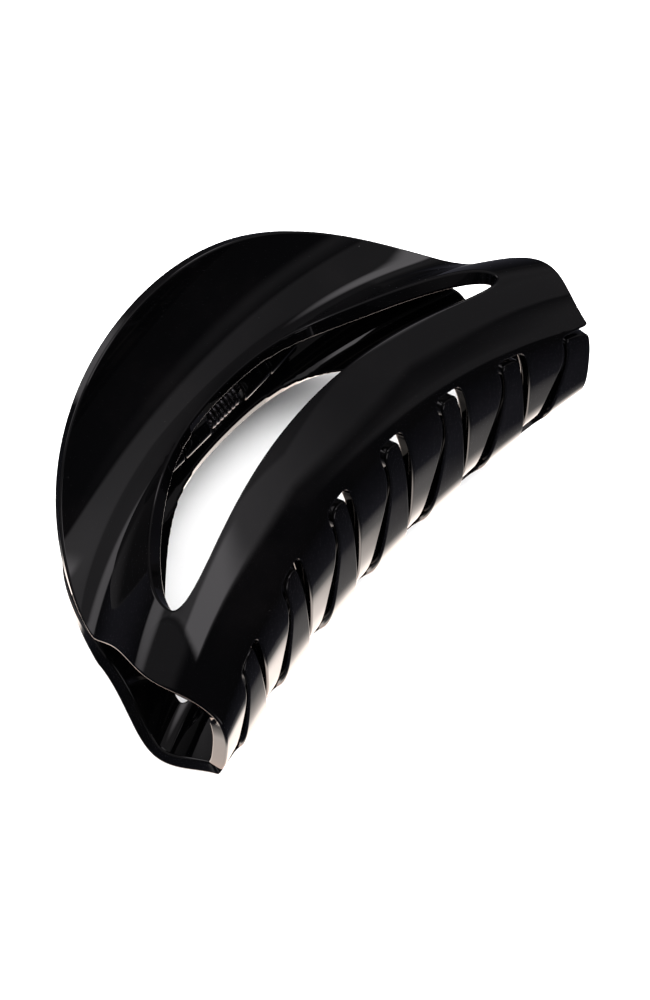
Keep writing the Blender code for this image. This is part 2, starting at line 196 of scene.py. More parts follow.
# Camera: where it stands in the row frame, in metres, and where it looks, in degrees.
CAMERA_PLACE = (-0.18796, -0.11278, 0.44380)
CAMERA_AZIMUTH = 61.863
CAMERA_ELEVATION = 63.181
CAMERA_ROLL = 12.933
CAMERA_LENS = 90
CAMERA_SENSOR = 36

# Studio overhead, as places on a ceiling one unit up: x along the row's X and y along its Y. The strip box is
# turned by STRIP_TURN degrees. It starts at STRIP_START, and its width is (full within, gone beyond). Every
# edge is (from, to), over which it softens.
CEILING_LEAST_HEIGHT = 0.05
STRIP_TURN = 17.8
STRIP_START = (0.126, 0.056)
STRIP_SIDE_EDGE = (-0.008, 0.012)
STRIP_END_EDGE = (-0.10, 0.0)
STRIP_FLAG_EDGE = (-0.015, 0.015)
STRIP_WIDTH = (0.168, 0.259)
STRIP_SKEW = 0.194
STRIP_STRENGTH = 1.3

# The black flag's edge runs along y = FLAG_EDGE and falls away before and beyond the stated x, by a slope.
FLAG_EDGE = -0.254
FLAG_BEFORE = (0.298, -0.818)
FLAG_BEYOND = (0.726, -0.643)

# Soft tones are (from, to, tone at from, tone at to): the panel by x and by y, the light behind the strip
# by y, and the glow over the flag by place and by distance from the flag's edge.
PANEL_BY_X = (0.123, 0.535, 0.63, 0.20)
PANEL_BY_Y = (0.066, 0.327, 1.0, 0.86)
PANEL_FLAG_EDGE = (-0.05, 0.03)
PANEL_NOTCH = (0.313, -0.053)
NOTCH_FLARE = 1.03
NOTCH_EDGE = (0.0, 0.08)
NOTCH_TONE = 0.50
BEHIND_BY_Y = (-0.382, -0.124, 0.0, 0.17)
BEHIND_EDGE = (-0.02, 0.02)
GLOW_SLANT = 0.8
GLOW_BY_PLACE = (-0.05, 0.15, 0.0, 0.19)
GLOW_BY_EDGE = (-0.356, 0.084, 1.0, 0.0)
HORIZON_FADE = (0.12, 0.34, 0.2, 1.0)
HORIZON_EDGE = (-0.02, 0.04)
BASE_TONE = 0.022
STUDIO_GREEN = 0.96

# Round cards, as (direction, full within, gone beyond, both in degrees, strength).
CARDS = (
    ((0.700, 0.312, 0.643), 5, 14, 1.7),
    ((-0.165, -0.937, 0.309), 9, 24, 1.1),
    ((-0.167, 0.947, 0.276), 9, 24, 1.1),
)

# Tones seen from the floor's side, by how steeply one looks down.
BELOW_LEVEL = (0.026, 0.026, 0.030)
BELOW_TONES = (
    (0.40, (0.042, 0.042, 0.054)),
    (0.78, (0.050, 0.050, 0.062)),
    (0.85, (0.40, 0.38, 0.37)),
    (0.90, (2.7, 2.4, 2.2)),
)
BELOW_STEEP = (1.9, 1.35, 1.1)

# Soft fill from overhead, in metres and watts, and the floor's half size.
FILL_PLACE = (0.1, 0.1, 2.0)
FILL_SIZE = 3.5
FILL_POWER = 290
FLOOR_HALF = 3.0


def mix(end, mid, q):
    return end + (mid - end) * q


def smooth_step(t):
    t = np.clip(t, 0, 1)
    return t * t * (3 - 2 * t)


def raw_section(q, v):
    """(out, height) of the jaw's outer face. v is 0 at the waist, positive up the wing."""
    rise = q + WAIST_FULLNESS * q * (1 - q)
    waist_out = mix(WAIST_END[0], WAIST_MID[0], q)
    waist_up = mix(WAIST_END[1], WAIST_MID[1], rise)
    root_out = mix(ROOT_END[0], ROOT_MID[0], q)
    root_up = mix(ROOT_END[1], ROOT_MID[1], q)

    lean = np.radians(WING_LEAN_END + WING_LEAN_GAIN * np.sqrt(np.maximum(q, 0)))
    bend = math.radians(WING_LEAN_PER_MM)
    along = np.maximum(v, 0)
    wing_out = waist_out + (np.cos(lean) - np.cos(lean + bend * along)) / bend
    wing_up = waist_up + (np.sin(lean + bend * along) - np.sin(lean)) / bend

    t = np.clip(-v / BAND_SPAN, 0, 1)
    top = np.radians(mix(*BAND_TOP_ANGLE, q))
    foot = np.radians(mix(*BAND_FOOT_ANGLE, q))
    top_handle = mix(*BAND_TOP_HANDLE, q)
    foot_handle = mix(*BAND_FOOT_HANDLE, q)
    b0, b1, b2, b3 = (1 - t) ** 3, 3 * t * (1 - t) ** 2, 3 * t * t * (1 - t), t**3
    band_out = (
        b0 * waist_out
        + b1 * (waist_out + top_handle * np.cos(top))
        + b2 * (root_out + foot_handle * np.cos(foot))
        + b3 * root_out
    )
    band_up = (
        b0 * waist_up
        + b1 * (waist_up - top_handle * np.sin(top))
        + b2 * (root_up + foot_handle * np.sin(foot))
        + b3 * root_up
    )

    across = 1 - 2 * (-v - BAND_SPAN) / TOOTH_SPAN
    tooth_line = mix(TOOTH_LINE_END, TOOTH_LINE_MID, q)
    tooth_out = root_out * across
    curl = TOOTH_CURL * np.maximum((1 - across) / 2, 0) ** 2
    tooth_up = tooth_line + (root_up - tooth_line) * np.abs(across) ** TOOTH_BELLY + curl

    out = np.where(v > 0, wing_out, np.where(v > -BAND_SPAN, band_out, tooth_out))
    up = np.where(v > 0, wing_up, np.where(v > -BAND_SPAN, band_up, tooth_up))
    return out, up


def half_length(v):
    t = np.clip(-v / BAND_SPAN, 0, 1)
    base = mix(WAIST_HALF_LENGTH, TEETH_HALF_LENGTH, t)
    return base + (BAND_HALF_LENGTH - base) * np.sin(math.pi * t) ** 2 * (t > 0) * (t < 1)


def surface(u, v):
    """Points on the outer face, for u along the clip and v round the section."""
    u, v = np.asarray(u, float), np.asarray(v, float)
    q = 1 - (u / NOMINAL_HALF_LENGTH) ** 2
    total = np.zeros((*u.shape, 3))
    blend = mix(ROOT_BLEND, WAIST_BLEND, smooth_step((v - BLEND_CHANGES_AT) / BLEND_CHANGES_OVER))
    shifts = np.linspace(-1, 1, CREASE_TAPS + 2)[1:-1]
    weights = (1 - shifts**2) ** 2
    for shift, weight in zip(shifts, weights):
        near = v + blend * shift
        out, up = raw_section(q, near)
        length = u * half_length(near) / NOMINAL_HALF_LENGTH
        total += weight * np.stack([length, up, out], -1)
    return total / weights.sum()


def surface_frame(u, v):
    """Points, outward normals and the two tangents of the outer face."""
    step = 0.02
    along = (surface(u + step, v) - surface(u - step, v)) / (2 * step)
    up = (surface(u, v + step) - surface(u, v - step)) / (2 * step)
    normal = np.cross(along, up)
    normal /= np.linalg.norm(normal, axis=-1, keepdims=True)
    return surface(u, v), normal, along, up


def crowned(normal, u, v):
    """The outer face's normals with the wing's slight extra crown, which only the shading shows."""
    near, up = np.asarray(u) / NOMINAL_HALF_LENGTH, np.clip(np.asarray(v) / WING_HEIGHT, 0, 1.2)
    begins = smooth_step(up / WING_CROWN_BEGINS_OVER)
    a, b = WING_CROWN_ALONG, WING_CROWN_UP
    along = np.radians(a[0] + a[1] * near + a[2] * up + a[3] * near * up) * begins
    rise = np.radians(b[0] + b[1] * near + b[2] * up + b[3] * near**2) * begins
    tipped = normal + np.stack([along, rise, 0 * rise], -1)
    return tipped / np.linalg.norm(tipped, axis=-1, keepdims=True)


def wall_at(v):
    return mix(WALL, RIM_WALL, smooth_step(np.asarray(v) / RIM_THINS_OVER))


def resample(points, step):
    """The closed loop at even steps."""
    points = np.array(points, float)
    points = np.vstack([points, points[:1]])
    run = np.r_[0, np.cumsum(np.linalg.norm(np.diff(points, axis=0), axis=1))]
    count = max(3, round(run[-1] / step))
    at = np.linspace(0, run[-1], count + 1)[:-1]
    return np.stack([np.interp(at, run, points[:, i]) for i in (0, 1)], 1)


def rounded(corners, radii, step):
    """A polyline with each inner corner replaced by an arc of the given radius."""
    corners = [np.array(c, float) for c in corners]
    line = [corners[0]]
    for i in range(1, len(corners) - 1):
        back, ahead = corners[i - 1] - corners[i], corners[i + 1] - corners[i]
        room = min(np.linalg.norm(back), np.linalg.norm(ahead)) * ARC_ROOM
        back /= np.linalg.norm(back)
        ahead /= np.linalg.norm(ahead)
        half = math.acos(np.clip(back @ ahead, -1, 1)) / 2
        if radii[i] <= 0 or half > math.radians(NEARLY_STRAIGHT):
            line.append(corners[i])
            continue
        cut = min(radii[i] / math.tan(half), room)
        start, end = corners[i] + back * cut, corners[i] + ahead * cut
        pieces = max(2, round((math.pi - 2 * half) * radii[i] / step))
        for k in range(pieces + 1):
            s = k / pieces
            line.append((1 - s) ** 2 * start + 2 * s * (1 - s) * corners[i] + s * s * end)
    line.append(corners[-1])
    return line


def tooth_side(centre, side):
    """One flank of a tooth, (u, v) points from root corner to tip corner. side is +1 or -1."""
    root, tip, ease = TOOTH_RIGHT if side > 0 else TOOTH_LEFT
    flank = [(centre + side * root, -BAND_SPAN - TOOTH_FOOT)]
    for s in np.linspace(TOOTH_STRAIGHT, 1 - TIP_STRAIGHT, FLANK_POINTS):
        bend = smooth_step((s - TOOTH_STRAIGHT) / (1 - 2 * TOOTH_STRAIGHT)) ** ease
        flank.append((centre + side * mix(root, tip, bend), -BAND_SPAN - TOOTH_SPAN * s))
    flank.append((flank[-1][0], -BAND_SPAN - TOOTH_SPAN + TOOTH_END_GAP))
    return flank


def jaw_outline():
    """The jaw's outer edge in (u, v), going round from the wing rim to the teeth and back."""
    end = NOMINAL_HALF_LENGTH
    turns = np.linspace(-math.pi / 2, math.pi / 2, RIM_POINTS)
    rim_u = end * np.sin(turns)
    rim_v = WING_HEIGHT * (np.cos(turns) ** (2 * WING_TAPER))
    rim = list(zip(rim_u, rim_v))[1:-1]
    tip = -BAND_SPAN - TOOTH_SPAN + TOOTH_END_GAP
    corners = [(end, 0.0), (end, CLIP_END_FOOT - BAND_SPAN)]
    radii = [0, CLIP_END_RADIUS]
    for i in range(TEETH):
        centre = end + PITCH / 4 - PITCH * (i + 1)
        flank = tooth_side(centre, +1)
        corners += flank
        radii += [FOOT_RADIUS_RIGHT] + [0] * (len(flank) - 2) + [TIP_RADIUS_RIGHT]
        if i == TEETH - 1:
            break
        flank = tooth_side(centre, -1)[::-1]
        corners += flank
        radii += [TIP_RADIUS_LEFT] + [0] * (len(flank) - 2) + [FOOT_RADIUS_LEFT]
    corners += [(-end, tip), (-end, 0.0)]
    radii += [TIP_RADIUS_RIGHT, 0]
    return rim + [tuple(p) for p in rounded(corners, radii, CORNER_STEP)]


def window_outline():
    half, tip = WINDOW_HALF_LENGTH, WINDOW_TIP
    line = []
    for a in np.linspace(0, 2 * math.pi, WINDOW_POINTS, endpoint=False):
        c, s = math.cos(a), math.sin(a)
        u = half * math.copysign(abs(c) ** WINDOW_ENDS, c)
        power, root = WINDOW_TOP_SHAPE if s >= 0 else WINDOW_FOOT_SHAPE
        side = WINDOW_TOP if s >= 0 else WINDOW_FOOT
        t = tip + (side - tip) * (1 - min(abs(u) / half, 1.0) ** power) ** root
        line.append((u, -BAND_SPAN * t))
    return line


def evened(loop, step):
    """The loop resampled so that curved stretches keep more points than straight ones."""
    fine = resample(loop, FINE_STEP)
    ahead, back = np.roll(fine, -TURN_REACH, 0) - fine, fine - np.roll(fine, TURN_REACH, 0)
    cross = ahead[:, 0] * back[:, 1] - ahead[:, 1] * back[:, 0]
    turn = np.abs(np.arctan2(cross, (ahead * back).sum(1)))
    for _ in range(TURN_BLURS):
        turn = (np.roll(turn, 1) + turn + np.roll(turn, -1)) / 3
    size = np.linalg.norm(np.roll(fine, -1, 0) - fine, axis=1)
    spacing = np.clip(CLOSER_ON_TURNS / np.maximum(turn, 1e-6), CLOSEST, 1.0) * step
    run = np.r_[0, np.cumsum(size / spacing)]
    at = np.linspace(0, run[-1], round(run[-1]), endpoint=False)
    closed = np.vstack([fine, fine[:1]])
    return np.stack([np.interp(at, run, closed[:, i]) for i in (0, 1)], 1)


def inside(points, loop):
    """Which of the points lie inside the loop."""
    x, y = points[:, 0][:, None], points[:, 1][:, None]
    x0, y0 = loop[:, 0], loop[:, 1]
    x1, y1 = np.roll(x0, -1), np.roll(y0, -1)
    crosses = (y0 > y) != (y1 > y)
    at = x0 + (y - y0) * (x1 - x0) / np.where(y1 == y0, 1e-12, y1 - y0)
    return (crosses & (x < at)).sum(1) % 2 == 1


def signed_area(loop):
    x, y = loop[:, 0], loop[:, 1]
    return 0.5 * (x * np.roll(y, -1) - np.roll(x, -1) * y).sum()


def edge_frame(loop):
    """For a loop with material on its left: outer points, normals and outward directions in 3D."""
    tangent = np.roll(loop, -1, 0) - np.roll(loop, 1, 0)
    points, normal, along, up = surface_frame(loop[:, 0], loop[:, 1])
    t3 = tangent[:, :1] * along + tangent[:, 1:] * up
    t3 /= np.linalg.norm(t3, axis=1, keepdims=True)
    out = np.cross(t3, normal)
    gram = np.stack([(along * along).sum(1), (along * up).sum(1), (up * up).sum(1)], 1)
    det = gram[:, 0] * gram[:, 2] - gram[:, 1] ** 2
    a, b = (out * along).sum(1), (out * up).sum(1)
    uv = np.stack([gram[:, 2] * a - gram[:, 1] * b, gram[:, 0] * b - gram[:, 1] * a], 1)
    return points, normal, out, uv / det[:, None]


def flat_mesh(loops):
    """(uv, triangles, index of each loop point) of the flat region inside loops[0] and outside loops[1]."""
    grid = []
    row = GRID_STEP * GRID_ROW
    for j, v in enumerate(np.arange(-BAND_SPAN - TOOTH_SPAN, WING_HEIGHT, row)):
        for u in np.arange(-NOMINAL_HALF_LENGTH, NOMINAL_HALF_LENGTH, GRID_STEP):
            grid.append((u + (j % 2) * GRID_STEP / 2, v))
    grid = np.array(grid)
    grid = grid[inside(grid, loops[0]) & ~inside(grid, loops[1])]
    for loop in loops:
        near = np.sqrt(((grid[:, None] - loop[None]) ** 2).sum(2)).min(1)
        grid = grid[near > GRID_CLEARANCE * GRID_STEP]
    flat = [Vector(p) for p in np.vstack([*loops, grid])]
    edges = []
    first = 0
    for loop in loops:
        size = len(loop)
        edges += [(first + i, first + (i + 1) % size) for i in range(size)]
        first += size
    verts, _, faces, sources, _, _ = delaunay_2d_cdt(flat, edges, [], 1, 1e-7)
    uv = np.array([tuple(p) for p in verts])
    tri = np.array([tuple(f) for f in faces])
    middle = uv[tri].mean(1)
    tri = tri[inside(middle, loops[0]) & ~inside(middle, loops[1])]
    at = {source: i for i, found in enumerate(sources) for source in found}
    return uv, tri, [at[i] for i in range(first)]


def jaw_sheet():
    """(points, normals, faces) of the upper jaw without its knuckles, as one closed surface."""
    outer, window = evened(jaw_outline(), EDGE_STEP), evened(window_outline(), EDGE_STEP)
    if signed_area(outer) < 0:
        outer = outer[::-1]
    if signed_area(window) > 0:
        window = window[::-1]
    loops = []
    for loop in (outer, window):
        _, _, _, uv = edge_frame(loop)
        loops.append(loop - EDGE_RADIUS * uv)
    uv, tri, rim_ids = flat_mesh(loops)

    points, normal, _, _ = surface_frame(uv[:, 0], uv[:, 1])
    wall = wall_at(uv[:, 1])[:, None]
    shaded = crowned(normal, uv[:, 0], uv[:, 1])
    shell, normals = [points, points - wall * normal], [shaded, -shaded]
    count = len(uv)
    area = np.cross(points[tri[:, 1]] - points[tri[:, 0]], points[tri[:, 2]] - points[tri[:, 0]])
    if (area * normal[tri[:, 0]]).sum() < 0:
        tri = tri[:, ::-1]
    faces = [tuple(f) for f in tri] + [tuple(f + count) for f in tri[:, ::-1]]
    start, first = 2 * count, 0
    for loop in loops:
        size = len(loop)
        base, n, out, _ = edge_frame(loop)
        shaded = crowned(n, loop[:, 0], loop[:, 1])
        t = wall_at(loop[:, 1])[:, None]
        ids = rim_ids[first : first + size]
        rows = [ids]
        turns = [k * math.pi / 2 / EDGE_SEGMENTS for k in range(1, 2 * EDGE_SEGMENTS)]
        turns.insert(EDGE_SEGMENTS, math.pi / 2)
        for k, turn in enumerate(turns):
            facing = math.cos(turn) * n + math.sin(turn) * out
            depth = EDGE_RADIUS if k < EDGE_SEGMENTS else t - EDGE_RADIUS
            shell.append(base - depth * n + EDGE_RADIUS * facing)
            normals.append(math.cos(turn) * shaded + math.sin(turn) * out)
            rows.append(list(range(start, start + size)))
            start += size
        rows.append([i + count for i in ids])
        for a, b in zip(rows[:-1], rows[1:]):
            for i in range(size):
                j = (i + 1) % size
                faces.append((a[j], a[i], b[i], b[j]))
        first += size
    return np.vstack(shell), np.vstack(normals), faces


def knuckle_section(x, radius):
    """(Y, Z) points of the hinge knuckle at x: a barrel on a foot that flares into the jaw's inner face."""
    v = np.linspace(*KNUCKLE_FACE, KNUCKLE_FACE_POINTS)
    u = np.full(v.shape, x * NOMINAL_HALF_LENGTH / WAIST_HALF_LENGTH)
    points, normal, _, _ = surface_frame(u, v)
    face = (points - wall_at(v)[:, None] * normal)[:, 1:]
    order = np.argsort(face[:, 0])
    foot_half = KNUCKLE_FOOT - (KNUCKLE_RADIUS - radius)
    turn = math.radians(KNUCKLE_LEAVES_AT)
    over, sink = KNUCKLE_SINK
    sides = []
    for side in (1, -1):
        y = max(HINGE_HEIGHT + side * foot_half, KNUCKLE_FOOT_LOWEST)
        z = np.interp([y, y + side * over], face[order, 0], face[order, 1])
        foot = np.array([y, z[0]])
        leave = np.array([HINGE_HEIGHT + side * radius * math.cos(turn), radius * math.sin(turn)])
        away = np.array([-side * math.sin(turn), math.cos(turn)])
        corner = leave + away * (z[0] - leave[1]) * KNUCKLE_FLARE
        steps = np.linspace(0, 1, FLARE_POINTS)
        arc = [(1 - s) ** 2 * leave + 2 * s * (1 - s) * corner + s * s * foot for s in steps]
        arc.append(np.array([y + side * over, z[1] + sink]))
        sides.append(arc)
    turns = np.linspace(turn, -math.pi - turn, BARREL_POINTS)[1:-1]
    barrel = [np.array([HINGE_HEIGHT + radius * math.cos(a), radius * math.sin(a)]) for a in turns]
    return sides[0][::-1] + barrel + sides[1]


def add_knuckle(bm, low, high):
    """A knuckle between two stations along the clip, with rounded ends and a bore for the pin."""
    turns = np.linspace(0, math.pi / 2, KNUCKLE_EDGE_POINTS)
    near = [(KNUCKLE_EDGE * (1 - math.cos(t)), KNUCKLE_EDGE * (1 - math.sin(t))) for t in turns]
    stations = [(low + inset, shrink) for inset, shrink in near]
    stations.append(((low + high) / 2, 0.0))
    stations += [(high - inset, shrink) for inset, shrink in near[::-1]]
    rows = []
    for x, shrink in stations:
        section = knuckle_section(x, KNUCKLE_RADIUS - shrink)
        rows.append([bm.verts.new((x, y, z)) for y, z in section])
    for a, b in zip(rows[:-1], rows[1:]):
        for i in range(len(a)):
            j = (i + 1) % len(a)
            bm.faces.new((a[i], a[j], b[j], b[i]))
    bore = []
    radius = PIN_RADIUS + PIN_CLEARANCE
    for row, x in ((rows[0], low), (rows[-1], high)):
        ring = []
        for a in np.linspace(0, 2 * math.pi, BORE_POINTS, endpoint=False):
            ring.append(bm.verts.new((x, HINGE_HEIGHT + radius * math.cos(a), radius * math.sin(a))))
        bore.append(ring)
        edges = []
        for loop in (row, ring):
            for i in range(len(loop)):
                pair = (loop[i], loop[(i + 1) % len(loop)])
                edges.append(bm.edges.get(pair) or bm.edges.new(pair))
        bmesh.ops.triangle_fill(bm, use_beauty=True, use_dissolve=False, edges=edges)
    for i in range(BORE_POINTS):
        j = (i + 1) % BORE_POINTS
        bm.faces.new((bore[0][j], bore[0][i], bore[1][i], bore[1][j]))


def shift_to_row_frame():
    """What brings the tilted clip to the row frame: the hinge axis is where the record's joint puts it."""
    joint = frame["joints"][0]
    tilt = Matrix.Rotation(math.radians(REST_TILT), 4, "X")
    return Vector(joint["pos_m"]) / MM - tilt @ Vector((0, HINGE_HEIGHT, 0))


def place_matrix(turned):
    """From the clip's own frame to the row frame: half a turn for the lower jaw, the resting tilt, metres."""
    tilt = Matrix.Rotation(math.radians(REST_TILT), 4, "X")
    half_turn = Matrix.Rotation(math.pi, 4, "Y") if turned else Matrix.Identity(4)
    return Matrix.Scale(MM, 4) @ Matrix.Translation(shift_to_row_frame()) @ tilt @ half_turn


def new_object(name, mesh, finish):
    obj = bpy.data.objects.new(name, mesh)
    bpy.context.scene.collection.objects.link(obj)
    mesh.materials.append(finish)
    return obj


def smooth_mesh(name, bm, sharp_above):
    """The bmesh as a smooth mesh whose edges stay sharp above an angle in degrees. It frees the bmesh."""
    mesh = bpy.data.meshes.new(name)
    bm.to_mesh(mesh)
    bm.free()
    mesh.shade_smooth()
    mesh.set_sharp_from_angle(angle=math.radians(sharp_above))
    return mesh


def add_jaw(name, turned, sheet, body, node, finish):
    points, normals, faces = sheet
    bm = bmesh.new()
    verts = [bm.verts.new(p) for p in points]
    for face in faces:
        bm.faces.new([verts[i] for i in face])
    sheet_count = len(verts)
    for low, high in KNUCKLE_SPANS:
        add_knuckle(bm, low, high)
    bmesh.ops.recalc_face_normals(bm, faces=bm.faces)
    mesh = smooth_mesh(name, bm, sharp_above=40)
    all_normals = np.zeros((len(mesh.vertices), 3))
    all_normals[:sheet_count] = normals
    matrix = place_matrix(turned)
    turn = np.array(matrix.to_3x3().normalized())
    mesh.transform(matrix)
    mesh.normals_split_custom_set_from_vertices((all_normals @ turn.T).tolist())
    jaw = new_object(name, mesh, finish)
    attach(jaw, body)
    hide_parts(node)


def add_pin(finish):
    """The pin as a turned profile, with chamfered and slightly domed ends."""
    half, r, c = PIN_HALF_LENGTH, PIN_RADIUS, PIN_END_CHAMFER
    profile = [(-half, 0.0), (-half, r - 2 * c), (-half + 0.3 * c, r - c), (-half + c, r - 0.2 * c)]
    profile += [(-half + 1.6 * c, r), (half - 1.6 * c, r)]
    profile += [(-x, y) for x, y in profile[:4][::-1]]
    bm = bmesh.new()
    verts = [bm.verts.new((x, HINGE_HEIGHT + y, 0)) for x, y in profile]
    edges = [bm.edges.new(pair) for pair in zip(verts[:-1], verts[1:])]
    bmesh.ops.spin(
        bm,
        geom=verts + edges,
        cent=(0, HINGE_HEIGHT, 0),
        axis=(1, 0, 0),
        angle=2 * math.pi,
        steps=PIN_STEPS,
    )
    bmesh.ops.remove_doubles(bm, verts=bm.verts, dist=1e-4)
    bmesh.ops.recalc_face_normals(bm, faces=bm.faces)
    mesh = smooth_mesh("steel_pin", bm, sharp_above=30)
    mesh.transform(place_matrix(False))
    pin = new_object("steel_pin", mesh, finish)
    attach(pin, "lower")
    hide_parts("hinge_pin")


def spring_path():
    """The wire's centre line, from the tip of the upper leg round the coil to the tip of the lower one."""
    lean = math.radians(LEG_LEAN)
    reach, rise = LEG_LENGTH * math.sin(lean), LEG_LENGTH * math.cos(lean)
    leg_steps = np.linspace(1, 0, LEG_POINTS)[:-1]
    path = [(COIL_HALF_WIDTH, HINGE_HEIGHT + rise * s, COIL_RADIUS + reach * s) for s in leg_steps]
    steps = round(COIL_TURNS * STEPS_A_TURN)
    for i in range(steps + 1):
        angle = -2 * math.pi * COIL_TURNS * i / steps
        x = COIL_HALF_WIDTH * (1 - 2 * i / steps)
        path.append((x, HINGE_HEIGHT + COIL_RADIUS * math.sin(angle), COIL_RADIUS * math.cos(angle)))
    path += [(-COIL_HALF_WIDTH, HINGE_HEIGHT + rise * s, -COIL_RADIUS - reach * s) for s in leg_steps[::-1]]
    path = np.array(path)
    for _ in range(COIL_BLURS):
        path[1:-1] = (path[:-2] + 2 * path[1:-1] + path[2:]) / 4
    return path


def add_spring(finish):
    """The spring wire swept along its path, from the upper leg round the coil to the lower leg."""
    path = spring_path()
    tangent = np.gradient(path, axis=0)
    tangent /= np.linalg.norm(tangent, axis=1, keepdims=True)
    across = np.cross(tangent[0], (1.0, 0, 0))
    rows = []
    for at, ahead in zip(path, tangent):
        across = across - ahead * (across @ ahead)
        across /= np.linalg.norm(across)
        rows.append((at, across, np.cross(ahead, across), ahead))
    bm = bmesh.new()
    rings = []
    near_end = (rows[0], -WIRE_END_LENGTH, WIRE_END_SHRINK)
    far_end = (rows[-1], WIRE_END_LENGTH, WIRE_END_SHRINK)
    for (at, a, b, ahead), push, grow in [near_end, *((row, 0.0, 1.0) for row in rows), far_end]:
        ring = []
        for angle in np.linspace(0, 2 * math.pi, WIRE_SIDES, endpoint=False):
            offset = WIRE_RADIUS * grow * (a * math.cos(angle) + b * math.sin(angle))
            ring.append(bm.verts.new(at + ahead * push + offset))
        rings.append(ring)
    for p, q in zip(rings[:-1], rings[1:]):
        for i in range(WIRE_SIDES):
            j = (i + 1) % WIRE_SIDES
            bm.faces.new((p[i], p[j], q[j], q[i]))
    bm.faces.new(rings[0][::-1])
    bm.faces.new(rings[-1])
    bmesh.ops.recalc_face_normals(bm, faces=bm.faces)
    mesh = smooth_mesh("wound_spring", bm, sharp_above=40)
    matrix = place_matrix(False)
    mesh.transform(matrix)
    spring = new_object("wound_spring", mesh, finish)
    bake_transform(spring)
    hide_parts("torsion_spring")


class Nodes:
    """Short calls for building a node tree."""

    def __init__(self, tree):
        self.tree = tree
        tree.nodes.clear()

    def add(self, kind, inputs=None, **settings):
        node = self.tree.nodes.new(kind)
        for key, value in settings.items():
            setattr(node, key, value)
        for key, value in (inputs or {}).items():
            if isinstance(value, bpy.types.NodeSocket):
                self.tree.links.new(value, node.inputs[key])
            else:
                node.inputs[key].default_value = value
        return node

    def noise(self, vector, scale, detail=2.0, roughness=0.5):
        found = self.add(
            "ShaderNodeTexNoise",
            {"Vector": vector, "Scale": scale, "Detail": detail, "Roughness": roughness},
        )
        return found.outputs["Fac"]

    def span(self, value, low, high, to_low, to_high, smooth=False):
        kind = "SMOOTHSTEP" if smooth else "LINEAR"
        inputs = {"Value": value, "From Min": low, "From Max": high, "To Min": to_low, "To Max": to_high}
        return self.add("ShaderNodeMapRange", inputs, interpolation_type=kind).outputs["Result"]

    def math(self, operation, a, b=0.0, c=0.0):
        return self.add("ShaderNodeMath", {0: a, 1: b, 2: c}, operation=operation).outputs["Value"]

    def product(self, first, *others):
        for other in others:
            first = self.math("MULTIPLY", first, other)
        return first

    def total(self, first, *others):
        for other in others:
            first = self.math("ADD", first, other)
        return first

    def blend(self, share, first, second):
        """The first colour, giving way to the second by the share."""
        mixed = self.add("ShaderNodeMix", {0: share, 6: first, 7: second}, data_type="RGBA", blend_type="MIX")
        return mixed.outputs[2]

    def tones(self, share, low, high):
        """A colour between two, by the share."""
        ramp = self.add("ShaderNodeValToRGB", {"Fac": share})
        ramp.color_ramp.elements[0].color = (*low, 1)
        ramp.color_ramp.elements[1].color = (*high, 1)
        return ramp


def gloss_plastic():
    """Polished black moulding: deep gloss, faint moulding ripple, fine wiping haze and a little dust."""
    made = bpy.data.materials.new("gloss_black_plastic")
    made.use_nodes = True
    n = Nodes(made.node_tree)
    place = n.add("ShaderNodeTexCoord").outputs["Object"]

    haze = n.span(n.noise(place, scale=55, detail=4, roughness=0.6), 0.42, 0.72, 0.0, 1.0, smooth=True)
    stretch = {"Vector": place, "Rotation": (0.3, 0.2, 0.7), "Scale": (60, 900, 900)}
    streaks = n.add("ShaderNodeMapping", stretch).outputs["Vector"]
    wipe = n.span(n.noise(streaks, scale=1.0, detail=3, roughness=0.6), 0.62, 0.80, 0.0, 1.0)
    cells = n.add("ShaderNodeTexVoronoi", {"Vector": place, "Scale": 520.0, "Randomness": 1.0})
    specks = n.span(cells.outputs["Distance"], 0.035, 0.075, 1.0, 0.0)
    few = n.span(n.noise(place, scale=130, detail=2, roughness=0.5), 0.60, 0.70, 0.0, 1.0)
    dust = n.product(specks, few)

    clean = n.tones(haze, (0.0004, 0.0004, 0.0005), (0.0009, 0.0008, 0.0009)).outputs["Color"]
    colour = n.blend(n.product(dust, 0.5), clean, (0.02, 0.02, 0.019, 1))
    rough = n.total(n.span(haze, 0, 1, 0.022, 0.050), n.product(wipe, 0.05), n.product(dust, 0.4))
    ripple = n.product(n.noise(place, scale=28, detail=1, roughness=0.4), 0.00006)
    peel = n.product(n.noise(place, scale=420, detail=2, roughness=0.5), 0.0000012)
    bump = n.add("ShaderNodeBump", {"Height": n.total(ripple, peel), "Strength": 1.0, "Distance": 1.0})
    shader = n.add(
        "ShaderNodeBsdfPrincipled",
        {"Base Color": colour, "Roughness": rough, "Normal": bump.outputs["Normal"], "IOR": 1.5},
    )
    n.add("ShaderNodeOutputMaterial", {"Surface": shader.outputs["BSDF"]})
    return made


